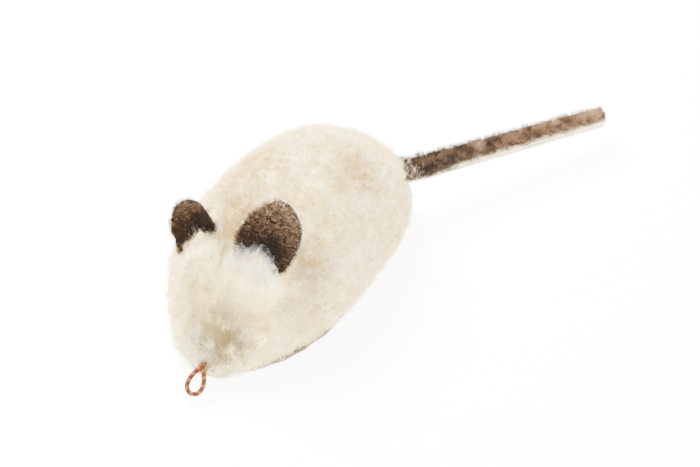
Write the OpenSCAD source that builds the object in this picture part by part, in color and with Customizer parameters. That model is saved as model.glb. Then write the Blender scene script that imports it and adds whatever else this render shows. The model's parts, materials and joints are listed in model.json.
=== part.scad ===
// Sheepskin mouse that runs on a pull-cord clockwork motor.
// +X is forward (nose), +Y is the mouse's left, +Z is up, and z = 0 is the floor.

/* [Body] */
// Length of the fleece body along its centre line
body_len = 115; // [100:1:140]
// Greatest width over the fleece
body_w = 63; // [60:1:76]
// Height of the fleece above the floor
body_h = 48; // [46:1:60]
// Angle between the rump's and the nose's directions
bend_deg = 28; // [10:1:34]
// Where the body is widest, as a share of the length from the rump
wide_at = 0.62; // [0.5:0.01:0.66]
// Where the body is highest, as a share of the length from the rump
high_at = 0.46; // [0.4:0.01:0.6]
// Height of the wool pile
pile_h = 7; // [5:0.5:8]
// Thickness of the sheep leather
leather_t = 1; // [0.6:0.1:1.2]
// Distance of the belly leather's cut edge inside the wool's outline
hem_in = 1.5; // [1:0.5:4]
// Height of the belly leather's underside above the floor
belly_z = 1; // [0.8:0.1:1.4]

/* [Ears] */
// Width of the left ear
ear_w = 20.5; // [16:0.5:25]
// Height of the left ear above the wool
ear_h = 21; // [16:1:26]
// Size of the right ear as a share of the left one
right_share = 0.86; // [0.8:0.01:1]
// Thickness of an ear, leather and pile
ear_t = 2.4; // [1.8:0.1:3]
// Depth of the hollow in an ear's front
ear_cup = 4; // [2:0.5:6]
// Distance of the ears ahead of the body's middle
ear_x = 28; // [20:1:32]
// Left ear's distance left of the centre plane
ear_left_y = 10; // [8:0.5:14]
// Right ear's distance right of the centre plane
ear_right_y = 14.5; // [8:0.5:15]

/* [Tail] */
// Length of the tail strip outside its root stitch
tail_len = 91; // [70:1:110]
// Width of the tail strip at the root
tail_root_w = 9.4; // [7:0.2:11]
// Width of the tail strip at the tip
tail_tip_w = 6; // [4:0.2:8]
// Thickness of the tail strip, leather and pile
tail_t = 4.2; // [3:0.2:5]
// Angle of the tail to the left of straight back
tail_yaw = 27; // [15:1:35]
// Fall of the tail below level
tail_droop = 6; // [0:1:8]
// Swing of the tail to each side
tail_swing = 18; // [5:1:20]

/* [Cord] */
// Diameter of the pull cord
cord_d = 1.3; // [1:0.1:1.5]
// Length of the nose loop
loop_len = 10.5; // [8:0.5:14]
// Width of the nose loop over its centre lines
loop_w = 4.6; // [4:0.2:7]

/* [Motor] */
// Gear module
gear_m = 0.5; // [0.45:0.01:0.52]
// Teeth on the great wheel
great_teeth = 40; // [38:1:42]
// Teeth on the layshaft pinion and on the axle pinion
pinion_teeth = 12; // [12:1:13]
// Teeth on the layshaft wheel
lay_teeth = 28; // [26:1:30]
// Radius of the drum where the first layer of cord lies
drum_core_r = 7.35; // [7:0.05:8]
// Distance between the frame plates
frame_gap = 16; // [16:0.5:18]
// Thickness of the frame plates and base plate
plate_t = 0.8; // [0.6:0.1:1]
// Diameter of the spring arbor
arbor_d = 2.5; // [2:0.1:3]
// Diameter of the layshaft
lay_shaft_d = 1.6; // [1.4:0.1:2]
// Forward distance of the arbor from the body's middle
arbor_x = 5; // [4:0.5:6]
// Height of the arbor above the floor
arbor_z = 19; // [18.5:0.5:21]

/* [Running gear] */
// Diameter over the drive tyres
wheel_d = 16; // [15:0.5:17]
// Width of a drive wheel
wheel_w = 3.5; // [3:0.1:4]
// Thickness of a tyre
tyre_t = 0.9; // [0.6:0.1:1.2]
// Diameter of the drive axle
axle_d = 2; // [1.6:0.1:2.4]
// Forward distance of the drive axle from the body's middle
axle_x = -15; // [-16:0.5:-14]
// Diameter of the front roller
roller_d = 7; // [6.5:0.5:8]
// Width of the front roller
roller_w = 6; // [4:0.5:7]
// Forward distance of the front roller from the body's middle
roller_x = 32; // [30:1:33]

/* [Fits] */
// Radial clearance of a running bearing
run_fit = 0.04; // [0.02:0.01:0.08]
// End play of a turning part
end_play = 0.15; // [0.1:0.05:0.3]
// Gap between soft parts that move past each other
soft_gap = 0.4; // [0.3:0.1:0.6]
// Total backlash of the gears
backlash = 0.12; // [0.08:0.02:0.16]

/* [Hidden] */
$fn = 48;

// Shape of the body.
rump_power = 2.1;
nose_power = 1.6;
side_power = 0.85;
shoulder = 0.2;
skirt_deg = 30;
end_share = 0.05;
stations = 32;
spokes = 22;
bend_r = body_len / (bend_deg * PI / 180);
sole_z = belly_z + leather_t;

// Heights and stations of the motor.
frame_y = frame_gap / 2;
frame_out = frame_y + plate_t;
base_top = sole_z + plate_t;
arbor = [arbor_x, arbor_z];
axle = [axle_x, wheel_d / 2];
great_dist = gear_m * (great_teeth + pinion_teeth) / 2;
lay_dist = gear_m * (lay_teeth + pinion_teeth) / 2;
lay = meeting(arbor, axle, great_dist, lay_dist);
wall_r = drum_core_r - 0.85;
flange_r = great_dist - lay_shaft_d / 2 - 0.8;
drum_left = 1;
drum_right = -6;
web = 0.8;
hub_d = arbor_d + 2.5;
great_y = 3.4;
great_t = 2;
lay_wheel_y = great_y + great_t + 0.8;
lay_wheel_t = 1.4;
cover_r = 12.5;
pillar_d = 3;
tenon_d = 1.6;
pillars = [[axle[0] - 6, 7.2], [14, 6.6], polar(arbor, 150, cover_r + 0.7)];
rivets = [[-18, 6], [-18, -6], [12, 6], [12, -6]];
rivet_d = 1.6;
wheel_in = frame_out + 1.7;
roller_z = roller_d / 2;
roller_pin = 1.3;
roller_reach = roller_w / 2 + end_play + plate_t + 0.5;
// Depth of the dent that an ear stands in, and of its foot below that.
ear_dent = 1.5;
ear_root = 2.5;

// The pull cord's route from the drum to the nose, whose points move with the body's length.
nose_out = body_len / 115;
cord_points = [[12, -1.9, 10.7], [40, 2, 9.5], [56 * nose_out, 6.3 * nose_out, 6.6]];
guide_from = cord_points[1];
guide_to = [54.8 * nose_out, 6 * nose_out, 6.8];
guide_d = cord_d + 0.9;
loop_start = [57 * nose_out, 6.6 * nose_out, 6.2];
loop_yaw = 10;
loop_fall = 30;
tail_root = [-0.4 * body_len, body_w * 4 / 21, 0.375 * body_h];

// Moves the origin to the middle of the footprint.
outline = [for (ring = body_rings(0)) each ring];
tail_tip = [tail_root[0] - tail_len * cos(tail_yaw), tail_root[1] + tail_len * sin(tail_yaw)];
tip_side = tail_tip_w / 2 * sin(tail_yaw);
loop_ahead = [cos(loop_yaw) * cos(loop_fall), sin(loop_yaw) * cos(loop_fall), -sin(loop_fall)];
loop_tip = loop_start + loop_ahead * (loop_len - cord_d / 2);
shift_x = (loop_tip[0] + tail_tip[0]) / 2;
shift_y = (min([for (p = outline) p[1]]) + tail_tip[1] + tip_side) / 2;

function polar(c, a, r) = [c[0] + r * cos(a), c[1] + r * sin(a)];
function unit(v) = v / norm(v);
function angle_of(v) = atan2(v[1], v[0]);

// Point at distance p from a and q from b, on the upper side of the line between them.
function meeting(a, b, p, q) =
    let (d = norm(b - a), along = (p * p - q * q + d * d) / (2 * d), e = (b - a) / d)
    a + along * e + sqrt(max(0, p * p - along * along)) * [e[1], -e[0]];

// Swell of the body at share t of its length, 1 at tm.
function swell(t, tm) =
    let (back = t < tm, u = back ? (tm - t) / tm : (t - tm) / (1 - tm))
    let (e = back ? rump_power : nose_power)
    pow(max(0, 1 - pow(u, e)), 1 / e);

// Turns a straight point to follow the bent centre line.
function bent(p) =
    let (a = p[0] / bend_r * 180 / PI)
    [(bend_r - p[1]) * sin(a), bend_r - (bend_r - p[1]) * cos(a), p[2]];

// One cross section, depth below the wool's surface, foot raised by lift.
function section(t, depth, lift) =
    let (w = (body_w / 2 - depth) * swell(t, wide_at))
    let (h = (body_h - sole_z - depth) * swell(t, high_at) - lift)
    [for (i = [0 : spokes])
        let (a = -skirt_deg + i * (180 + 2 * skirt_deg) / spokes, c = cos(a), s = sin(a))
        let (z = s < 0 ? h * shoulder * (1 + s / sin(skirt_deg))
            : h * (shoulder + (1 - shoulder) * pow(s, side_power)))
        bent([(t - 0.5) * (body_len - 2 * depth), w * sign(c) * pow(abs(c), side_power),
            sole_z + lift + z])];

// Adds a point below each end of a cross section.
function footed(ring) =
    let (fall = [0, 0, 0.5])
    concat([ring[0] - fall], ring, [ring[spokes] - fall]);

function station(i, from, to) =
    (1 - cos(180 * (from + (to - from) * i / stations))) / 2;

function body_rings(depth, lift = 0, from = end_share, to = 1 - end_share) =
    [for (i = [0 : stations]) section(station(i, from, to), depth, lift)];

// Closed solid through a list of rings that each hold the same number of points.
module skin(rings, looped = false) {
    n = len(rings[0]);
    m = len(rings);
    spans = looped ? m : m - 1;
    sides = [for (i = [0 : spans - 1]) for (j = [0 : n - 1])
        let (a = i * n + j, b = i * n + (j + 1) % n)
        let (c = ((i + 1) % m) * n + (j + 1) % n, d = ((i + 1) % m) * n + j)
        each [[a, c, b], [a, d, c]]];
    caps = looped ? [] : [[for (j = [0 : n - 1]) j], [for (j = [n - 1 : -1 : 0]) (m - 1) * n + j]];
    polyhedron([for (r = rings) each r], concat(sides, caps), convexity = 8);
}

// Round tube of radius r along points, its rings turned by the direction up.
function tube_rings(points, r, up, sides, looped = false) =
    let (m = len(points))
    [for (i = [0 : m - 1])
        let (back = looped ? (i + m - 1) % m : max(0, i - 1))
        let (next = looped ? (i + 1) % m : min(m - 1, i + 1))
        let (t = unit(points[next] - points[back]), u = unit(cross(up, t)), v = cross(t, u))
        [for (j = [0 : sides - 1])
            points[i] + r * (cos(360 * j / sides) * u + sin(360 * j / sides) * v)]];

// Points about step apart along straight runs between a route's points.
function spaced(route, step) =
    [for (i = [0 : len(route) - 2])
        let (n = ceil(norm(route[i + 1] - route[i]) / step))
        each [for (k = [0 : n - (i == len(route) - 2 ? 0 : 1)])
            route[i] + (route[i + 1] - route[i]) * k / n]];

module home() {
    translate([-shift_x, -shift_y, 0]) children();
}

// Extrudes a shape drawn in the X-Z plane from y0 to y1.
module across(y0, y1) {
    translate([0, y1, 0]) rotate([90, 0, 0]) linear_extrude(y1 - y0) children();
}

// Cylinder along Y at the X-Z point c.
module rod(c, d, y0, y1) {
    translate([c[0], y1, c[1]]) rotate([90, 0, 0]) cylinder(d = d, h = y1 - y0);
}

// Cylinder from a to b.
module bar(a, b, d) {
    v = b - a;
    translate(a) rotate([0, acos(v[2] / norm(v)), atan2(v[1], v[0])]) cylinder(d = d, h = norm(v));
}

function involute(rb, r) =
    let (k = sqrt(max(0, r * r / (rb * rb) - 1)))
    k * 180 / PI - atan(k);

// Half the angle of a tooth at radius r, thinned by the backlash.
function half_tooth(n, r) =
    let (rp = gear_m * n / 2, rb = rp * cos(20))
    (PI * gear_m / 2 - backlash / 2) / (2 * rp) * 180 / PI
        + involute(rb, rp) - involute(rb, max(r, rb));

// Gear outline with a tooth on the +X side.
module gear_shape(n) {
    rp = gear_m * n / 2;
    foot = rp - 1.2 * gear_m;
    tip = rp + 0.9 * gear_m;
    flank = [foot, max(foot + 0.05, rp - 0.45 * gear_m), rp + 0.25 * gear_m, tip];
    polygon([for (i = [0 : n - 1]) each concat(
        [for (k = [0 : 3]) polar([0, 0], i * 360 / n - half_tooth(n, flank[k]), flank[k])],
        [for (k = [3 : -1 : 0]) polar([0, 0], i * 360 / n + half_tooth(n, flank[k]), flank[k])])]);
}

// Gear at c whose tooth, or gap, points along the angle aim.
module gear(c, n, y0, y1, aim, gap, bore) {
    difference() {
        translate([c[0], 0, c[1]])
            rotate([0, -aim - (gap ? 180 / n : 0), 0])
                across(y0, y1) gear_shape(n);
        rod(c, bore, y0 - 1, y1 + 1);
    }
}

module body_solid(depth) {
    skin(body_rings(depth));
}

// The body's shape carried on below the sole, to cut a hollow that is open there.
module body_cut(depth) {
    skin([for (ring = body_rings(depth)) footed(ring)]);
}

module nose_hole(extra) {
    aim = unit(guide_to - guide_from);
    bar(guide_from, guide_to + 6 * aim, guide_d + extra);
}

// The space that the tail's root sweeps.
module tail_recess() {
    w = tail_root_w / 2 + soft_gap;
    reach = 30;
    fan = w + reach * tan(tail_swing + 6);
    fall = 12 * tan(tail_droop);
    translate(tail_root - [0, 0, soft_gap + fall]) {
        linear_extrude(tail_t + 2 * soft_gap + fall) {
            circle(r = w);
            rotate(-tail_yaw) polygon([[0, -w], [0, w], [-reach, fan], [-reach, -fan]]);
        }
    }
}

// Stands an ear on the wool at a distance to the left of the centre plane, turned by tilt.
module ear_place(centre, tilt) {
    t = 0.5 + ear_x / body_len;
    w = body_w / 2 * swell(t, wide_at);
    rise = sqrt(max(0.1, 1 - pow(abs(centre - bent([ear_x, 0, 0])[1]) / w, 2.2)));
    h = (body_h - sole_z) * swell(t, high_at);
    top = sole_z + h * (shoulder + (1 - shoulder) * rise);
    translate([ear_x, centre, top - ear_dent]) rotate(tilt) children();
}

// Cupped leaf that stands on its base and faces forward, its width and height cut by share.
module ear_leaf(share) {
    rows = 14;
    cols = 10;
    low = 0.14;
    function across_at(v) = sin(acos(1 - 2 * (low + (0.99 - low) * v)));
    function leaf(i, j, back) =
        let (v = i / rows, u = 2 * j / cols - 1, w = share * ear_w / 2 * across_at(v))
        [-ear_cup * (1 - u * u) * (0.4 + 0.6 * v) - (back ? ear_t : 0), w * u,
            (share * ear_h + ear_root) * v - ear_root];
    skin([for (i = [0 : rows]) concat(
        [for (j = [0 : cols]) leaf(i, j, false)],
        [for (j = [cols : -1 : 0]) leaf(i, j, true)])]);
}

module fleece_pile() {
    $fn = 12;
    color("#efe6cf") home() difference() {
        body_solid(0);
        body_cut(pile_h);
        nose_hole(0.1);
        tail_recess();
    }
}

module pelt_leather() {
    $fn = 12;
    color("#d9cdb4") home() difference() {
        body_solid(pile_h);
        body_cut(pile_h + leather_t);
        nose_hole(0.1);
        tail_recess();
    }
}

// Footprint of the body, depth inside the wool.
module footprint(depth) {
    rings = body_rings(depth);
    polygon(concat([for (r = rings) [r[0][0], r[0][1]]],
        [for (i = [stations : -1 : 0]) [rings[i][spokes][0], rings[i][spokes][1]]]));
}

module wheel_slots() {
    for (side = [-1, 1])
        translate([axle_x, side * (wheel_in + wheel_w / 2)])
            square([wheel_d * 0.9, wheel_w + 2], center = true);
    translate([roller_x, 0]) square([roller_d + 2.5, roller_w + 1.4], center = true);
}

module belly_leather() {
    color("#8f8371") home() translate([0, 0, belly_z]) difference() {
        linear_extrude(leather_t) difference() {
            footprint(hem_in);
            wheel_slots();
        }
        for (p = rivets) translate([p[0], p[1], -1]) cylinder(d = rivet_d, h = leather_t + 2);
    }
}

// Short stitches under the belly's edge.
module hem_thread() {
    hem = body_rings(pile_h + leather_t / 2);
    color("#cbb79a") home() for (k = [0, spokes]) for (i = [4 : 2 : stations - 4])
        translate([hem[i][k][0], hem[i][k][1], belly_z - 0.4]) rotate(35)
            translate([-1.3, -0.25, 0]) cube([2.6, 0.5, 0.4]);
}

// Stitches that close the pelt above the cord hole.
module nose_thread() {
    color("#b98a55") home() for (k = [-1, 0, 1]) {
        foot = bent([body_len / 2 - 3.5, k * 1.5 - 0.4, 0]);
        translate([foot[0], foot[1], sole_z + 8]) cylinder(d = 0.6, h = 3.2);
    }
}

module ear_left() {
    color("#6d5140") home() ear_place(ear_left_y, [-8, -25, 8]) ear_leaf(1);
}

module ear_right() {
    color("#6d5140") home() ear_place(-ear_right_y, [36, -25, 8]) ear_leaf(right_share);
}

module tail_strip() {
    color("#7c6350") home() translate(tail_root) rotate(-tail_yaw) difference() {
        union() {
            cylinder(d = tail_root_w, h = tail_t);
            rotate([0, -tail_droop, 0]) linear_extrude(tail_t) {
                polygon([[0, 0.2 - tail_root_w / 2], [0, tail_root_w / 2 - 0.2],
                    [-tail_run(), tail_tip_w / 2], [-tail_run(), -tail_tip_w / 2]]);
                translate([-tail_run(), 0]) circle(d = tail_tip_w);
            }
        }
        translate([0, 0, -2]) cylinder(d = 0.8 + 2 * run_fit, h = tail_t + 4);
    }
}

// Straight part of the tail before its round tip.
function tail_run() = tail_len - tail_tip_w / 2;

module tail_stitch() {
    color("#efe6cf") home() translate(tail_root - [0, 0, 2]) cylinder(d = 0.8, h = tail_t + 4);
}

module nose_wadding() {
    color("#f4f1ea") home() difference() {
        skin(body_rings(pile_h + leather_t + 0.3, 1, 0.77, 0.89));
        bar(cord_points[0], guide_from + unit(guide_to - guide_from), cord_d + 1);
        nose_hole(0.2);
    }
}

module rump_wadding() {
    color("#f4f1ea") home() difference() {
        skin(body_rings(pile_h + leather_t + 0.3, 1, 0.1, 0.28));
        tail_recess();
    }
}

module base_plate() {
    color("#b9bcc0") home() translate([0, 0, sole_z]) difference() {
        linear_extrude(plate_t) difference() {
            union() {
                translate([-26, -frame_out]) square([44, 2 * frame_out]);
                translate([17, -6]) square([22, 12]);
            }
            translate([roller_x, 0]) square([roller_d + 2.5, roller_w + 1], center = true);
            translate([roller_x, 0]) square([roller_pin + 0.6, 2 * roller_reach + 0.6], center = true);
        }
        for (p = rivets) translate([p[0], p[1], -1]) cylinder(d = rivet_d, h = plate_t + 2);
    }
}

module base_rivets() {
    color("#d8d8d8") home() for (p = rivets) translate([p[0], p[1], 0]) {
        translate([0, 0, belly_z]) cylinder(d = rivet_d, h = leather_t + 2 * plate_t);
        translate([0, 0, belly_z - 0.4]) cylinder(d = rivet_d + 1.4, h = 0.4);
        translate([0, 0, base_top + plate_t]) cylinder(d = rivet_d + 1, h = 0.4);
    }
}

// Outline of a frame plate in the X-Z plane.
module plate_shape() {
    n = unit([arbor[1] - axle[1], axle[0] - arbor[0]]);
    translate(arbor) circle(r = cover_r);
    translate(axle) circle(r = 5);
    polygon([arbor + 12 * n, axle + 5 * n, axle - 5 * n, arbor - 12 * n]);
    for (p = pillars) translate(p) circle(r = 2.6);
    translate([axle_x - 6, base_top]) square([arbor_x - axle_x + 17, 5]);
}

// A frame plate with its foot turned in, side is 1 for the left one.
module frame_plate(side) {
    inner = side > 0 ? frame_y : -frame_out;
    difference() {
        union() {
            across(inner, inner + plate_t) intersection() {
                plate_shape();
                translate([-60, base_top]) square([120, 60]);
            }
            translate([axle_x - 6, side > 0 ? 4 : -frame_y, base_top])
                cube([arbor_x - axle_x + 17, frame_y - 4, plate_t]);
        }
        rod(arbor, arbor_d, -20, 20);
        rod(axle, axle_d + 2 * run_fit, -20, 20);
        rod(lay, lay_shaft_d + 2 * run_fit, -20, 20);
        for (p = pillars) rod(p, tenon_d, -20, 20);
        for (p = rivets) translate([p[0], p[1], 0]) cylinder(d = rivet_d, h = 10);
    }
}

module frame_plate_left() {
    color("#c2a860") home() frame_plate(1);
}

module frame_plate_right() {
    color("#c2a860") home() frame_plate(-1);
}

module frame_pillars() {
    color("#c9cbce") home() for (p = pillars) {
        rod(p, pillar_d, -frame_y, frame_y);
        rod(p, tenon_d, -frame_out - 0.5, frame_out + 0.5);
    }
}

module motor_cover() {
    color("#b9bcc0") home() across(-frame_out, frame_out) translate(arbor)
        intersection() {
            difference() {
                circle(r = cover_r + plate_t / 2);
                circle(r = cover_r + run_fit);
            }
            polygon([[0, 0], polar([0, 0], -20, 40), [40, 40], [0, 40], polar([0, 0], 128, 40)]);
        }
}

module spring_arbor() {
    color("#9ea2a6") home() {
        rod(arbor, arbor_d, -frame_out, frame_out);
        rod(arbor, arbor_d + 1.5, frame_out, frame_out + 0.5);
        rod(arbor, arbor_d + 1.5, -frame_out - 0.5, -frame_out);
    }
}

module mainspring() {
    turns = 6;
    steps = 18 * turns;
    strip = 0.25;
    function coil(i, out) = polar([0, 0], i * 360 / 18,
        arbor_d / 2 + 0.02 + (wall_r - arbor_d / 2 - strip - 0.05) * i / steps + out);
    color("#5f6b78") home() across(drum_right + 0.3, drum_left - web - 0.3) translate(arbor)
        polygon(concat([for (i = [0 : steps]) coil(i, 0)],
            [for (i = [steps : -1 : 0]) coil(i, strip)]));
}

module cord_drum() {
    bore = arbor_d + 2 * run_fit;
    color("#3c3f44") home() difference() {
        union() {
            rod(arbor, 2 * drum_core_r, drum_right, drum_left);
            rod(arbor, 2 * flange_r, drum_left - web, drum_left);
            rod(arbor, hub_d, drum_left, (drum_left + great_y) / 2 - end_play / 2);
        }
        rod(arbor, 2 * wall_r, drum_right - 1, drum_left - web);
        rod(arbor, bore, -20, 20);
    }
}

module drum_cover() {
    bore = arbor_d + 2 * run_fit;
    color("#54585e") home() difference() {
        union() {
            rod(arbor, 2 * flange_r, drum_right - web, drum_right);
            rod(arbor, hub_d, -frame_y + end_play, drum_right - web);
        }
        rod(arbor, bore, -20, 20);
    }
}

module cord_wound() {
    color("#a9714c") home() difference() {
        rod(arbor, 2 * (drum_core_r + cord_d * 1.5), drum_right + 0.1, drum_left - web - 0.1);
        rod(arbor, 2 * drum_core_r, -20, 20);
    }
}

module clutch_spring() {
    wire = 0.3;
    from = drum_left + 0.15;
    to = great_y - 0.15;
    r = hub_d / 2 + wire / 2 + 0.05;
    turns = 5;
    path = [for (i = [0 : turns * 14])
        [arbor[0] + r * cos(i * 360 / 14), from + wire / 2 + (to - from - wire) * i / (turns * 14),
            arbor[1] + r * sin(i * 360 / 14)]];
    color("#8d9399") home() skin(tube_rings(path, wire / 2, [0, 1, 0], 6));
}

module great_wheel() {
    aim = angle_of(lay - arbor);
    bore = arbor_d + 2 * run_fit;
    color("#cfae5a") home() {
        gear(arbor, great_teeth, great_y, great_y + great_t, aim, false, bore);
        difference() {
            union() {
                rod(arbor, hub_d, (drum_left + great_y) / 2 + end_play / 2, great_y);
                rod(arbor, hub_d, great_y + great_t, frame_y - end_play);
            }
            rod(arbor, bore, -20, 20);
        }
    }
}

module layshaft() {
    color("#9ea2a6") home() rod(lay, lay_shaft_d, -frame_out - 0.6, frame_out + 0.6);
}

module lay_pinion() {
    color("#cfae5a") home()
        gear(lay, pinion_teeth, great_y - 0.4, lay_wheel_y, angle_of(arbor - lay), true, lay_shaft_d);
}

module lay_wheel() {
    color("#cfae5a") home()
        gear(lay, lay_teeth, lay_wheel_y, lay_wheel_y + lay_wheel_t, angle_of(axle - lay),
            false, lay_shaft_d);
}

module drive_axle() {
    reach = wheel_in + wheel_w + 0.8;
    color("#9ea2a6") home() rod(axle, axle_d, -reach, reach);
}

module axle_pinion() {
    color("#cfae5a") home()
        gear(axle, pinion_teeth, lay_wheel_y - 0.3, lay_wheel_y + lay_wheel_t + 0.1,
            angle_of(lay - axle), true, axle_d);
}

module wheel(side) {
    y0 = side > 0 ? wheel_in : -wheel_in - wheel_w;
    hub0 = side > 0 ? frame_out + end_play : -wheel_in;
    difference() {
        union() {
            rod(axle, wheel_d - 2 * tyre_t, y0, y0 + wheel_w);
            rod(axle, axle_d + 2, hub0, hub0 + wheel_in - frame_out - end_play);
        }
        rod(axle, axle_d, -30, 30);
        for (a = [0 : 60 : 300]) rod(polar(axle, a, wheel_d * 0.27), wheel_d * 0.13, -30, 30);
    }
}

module tyre(side) {
    y0 = side > 0 ? wheel_in : -wheel_in - wheel_w;
    difference() {
        rod(axle, wheel_d, y0 + 0.2, y0 + wheel_w - 0.2);
        rod(axle, wheel_d - 2 * tyre_t, -30, 30);
    }
}

module wheel_left() {
    color("#2f3236") home() wheel(1);
}

module wheel_right() {
    color("#2f3236") home() wheel(-1);
}

module tyre_left() {
    color("#1c1d1f") home() tyre(1);
}

module tyre_right() {
    color("#1c1d1f") home() tyre(-1);
}

// Two uprights on the base plate that carry the front roller's axle.
module roller_bracket() {
    ear_in = roller_w / 2 + end_play;
    color("#b9bcc0") home() difference() {
        for (side = [-1, 1]) {
            y0 = side > 0 ? ear_in : -ear_in - plate_t;
            foot = side > 0 ? ear_in : -ear_in - 2.4;
            translate([roller_x - 2.5, y0, base_top]) cube([5, plate_t, roller_z + 2.2 - base_top]);
            translate([roller_x - 4, foot, base_top]) cube([8, 2.4, plate_t / 2]);
        }
        rod([roller_x, roller_z], roller_pin, -20, 20);
    }
}

module roller_axle() {
    color("#9ea2a6") home() rod([roller_x, roller_z], roller_pin, -roller_reach, roller_reach);
}

module front_roller() {
    color("#2f3236") home() difference() {
        rod([roller_x, roller_z], roller_d, -roller_w / 2, roller_w / 2);
        rod([roller_x, roller_z], roller_pin + 2 * run_fit, -20, 20);
    }
}

module cord_guide_tube() {
    color("#c9a45c") home() difference() {
        bar(guide_from, guide_to, guide_d);
        bar(guide_from - unit(guide_to - guide_from), guide_to + unit(guide_to - guide_from),
            cord_d + 0.2);
    }
}

module cord_run() {
    color("#a9714c") home()
        skin(tube_rings(spaced(cord_points, 3), cord_d / 2, [0, 0, 1], 8));
}

// Egg-shaped loop that lies forward and down from the nose, its narrow end at the nose.
module pull_loop() {
    side = [-sin(loop_yaw), cos(loop_yaw), 0];
    path = [for (i = [0 : 27])
        let (a = 360 * i / 28)
        loop_start + loop_ahead * (loop_len - cord_d) / 2 * (1 - cos(a))
            + side * loop_w / 2 * sin(a) * (0.84 + 0.3 * pow(sin(a / 2), 2))];
    color("#a9714c") home()
        skin(tube_rings(path, cord_d / 2, cross(loop_ahead, side), 8, true), true);
}

fleece_pile();
pelt_leather();
belly_leather();
hem_thread();
nose_thread();
ear_left();
ear_right();
tail_strip();
tail_stitch();
nose_wadding();
rump_wadding();
base_plate();
base_rivets();
frame_plate_left();
frame_plate_right();
frame_pillars();
motor_cover();
spring_arbor();
mainspring();
cord_drum();
drum_cover();
cord_wound();
clutch_spring();
great_wheel();
layshaft();
lay_pinion();
lay_wheel();
drive_axle();
axle_pinion();
wheel_left();
wheel_right();
tyre_left();
tyre_right();
roller_bracket();
roller_axle();
front_roller();
cord_guide_tube();
cord_run();
pull_loop();
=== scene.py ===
import json
import math

import bmesh
import bpy
import numpy as np
from mathutils import Matrix, Vector, noise
from mathutils.kdtree import KDTree


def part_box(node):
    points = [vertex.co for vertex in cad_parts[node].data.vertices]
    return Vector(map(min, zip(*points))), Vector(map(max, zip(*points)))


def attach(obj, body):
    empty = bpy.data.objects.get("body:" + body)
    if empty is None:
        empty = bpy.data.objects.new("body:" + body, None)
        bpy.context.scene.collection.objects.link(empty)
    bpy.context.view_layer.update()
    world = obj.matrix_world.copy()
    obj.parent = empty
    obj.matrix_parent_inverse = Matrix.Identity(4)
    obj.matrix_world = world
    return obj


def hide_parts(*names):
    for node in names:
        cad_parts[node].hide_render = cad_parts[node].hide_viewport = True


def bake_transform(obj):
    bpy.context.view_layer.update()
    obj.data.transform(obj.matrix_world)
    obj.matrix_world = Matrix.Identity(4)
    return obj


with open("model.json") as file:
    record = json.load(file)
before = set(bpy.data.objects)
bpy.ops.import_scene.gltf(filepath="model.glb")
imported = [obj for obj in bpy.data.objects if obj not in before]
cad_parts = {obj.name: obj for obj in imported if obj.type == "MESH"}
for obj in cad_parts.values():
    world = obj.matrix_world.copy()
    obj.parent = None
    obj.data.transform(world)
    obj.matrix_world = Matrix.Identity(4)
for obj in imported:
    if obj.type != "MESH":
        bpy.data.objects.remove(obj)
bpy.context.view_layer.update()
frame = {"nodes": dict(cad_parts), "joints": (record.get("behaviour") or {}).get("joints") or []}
MM = 0.001

# The spring arbor's middle, from the mouse's own origin: the floor point under its body.
ARBOR = Vector((5, -2.5, 19)) * MM
JOINTS = {joint["name"]: joint for joint in frame["joints"]}
ORIGIN = Vector(JOINTS["drum_spin"]["pos_m"]) - ARBOR


def spot(x, y, z):
    """A point given in millimetres from the mouse's own origin."""
    return ORIGIN + Vector((x, y, z)) * MM


# ---------------------------------------------------------------- camera and light

# Direction to the camera in radians, and how far its aim lies right of and below the body.
CAMERA_AZIMUTH = 0.62
CAMERA_HEIGHT = 0.76
CAMERA_DISTANCE = 600 * MM
SIDE_AIM = 21 * MM
LOW_AIM = -0.9 * MM
LENS = 92


def look_along(obj, direction):
    obj.rotation_euler = direction.to_track_quat("-Z", "Y").to_euler()


def make_camera():
    az, el = CAMERA_AZIMUTH, CAMERA_HEIGHT
    back = Vector((math.cos(az) * math.cos(el), math.sin(az) * math.cos(el), math.sin(el)))
    right = Vector((-math.sin(az), math.cos(az), 0))
    up = back.cross(right)
    middle = spot(0, 0, 18)
    camera = bpy.data.objects.new("camera", bpy.data.cameras.new("camera"))
    bpy.context.collection.objects.link(camera)
    camera.data.lens = LENS
    camera.data.clip_start = 0.01
    place = middle + back * CAMERA_DISTANCE
    aim = middle + right * SIDE_AIM - up * LOW_AIM
    z = (place - aim).normalized()
    x = (right - z * right.dot(z)).normalized()
    camera.matrix_world = Matrix.Translation(place) @ Matrix((x, z.cross(x), z)).transposed().to_4x4()
    bpy.context.scene.camera = camera


def area_light(name, place, size, watts):
    light = bpy.data.objects.new(name, bpy.data.lights.new(name, "AREA"))
    bpy.context.collection.objects.link(light)
    light.data.shape = "DISK"
    light.data.size = size
    light.data.energy = watts
    light.location = place
    look_along(light, spot(0, 0, 20) - light.location)


def make_studio():
    area_light("key", spot(-150, -420, 620), 0.5, 54.0)
    area_light("front_fill", spot(700, 250, 420), 0.7, 11.0)
    area_light("side_fill", spot(-100, 650, 380), 0.6, 5.0)
    world = bpy.data.worlds.new("studio")
    bpy.context.scene.world = world
    world.use_nodes = True
    world.node_tree.nodes["Background"].inputs["Color"].default_value = linear("#ffffff")
    world.node_tree.nodes["Background"].inputs["Strength"].default_value = 2.2
    bm = bmesh.new()
    bmesh.ops.create_grid(bm, x_segments=1, y_segments=1, size=3)
    floor = piece_from(bm, "floor", None)
    floor.data.materials.append(floor_paper())


# ---------------------------------------------------------------- small tools

def linear(hex_colour):
    """sRGB hex to linear RGBA."""
    parts = [int(hex_colour[i:i + 2], 16) / 255 for i in (1, 3, 5)]
    return [c / 12.92 if c <= 0.04045 else ((c + 0.055) / 1.055) ** 2.4 for c in parts] + [1.0]


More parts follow.
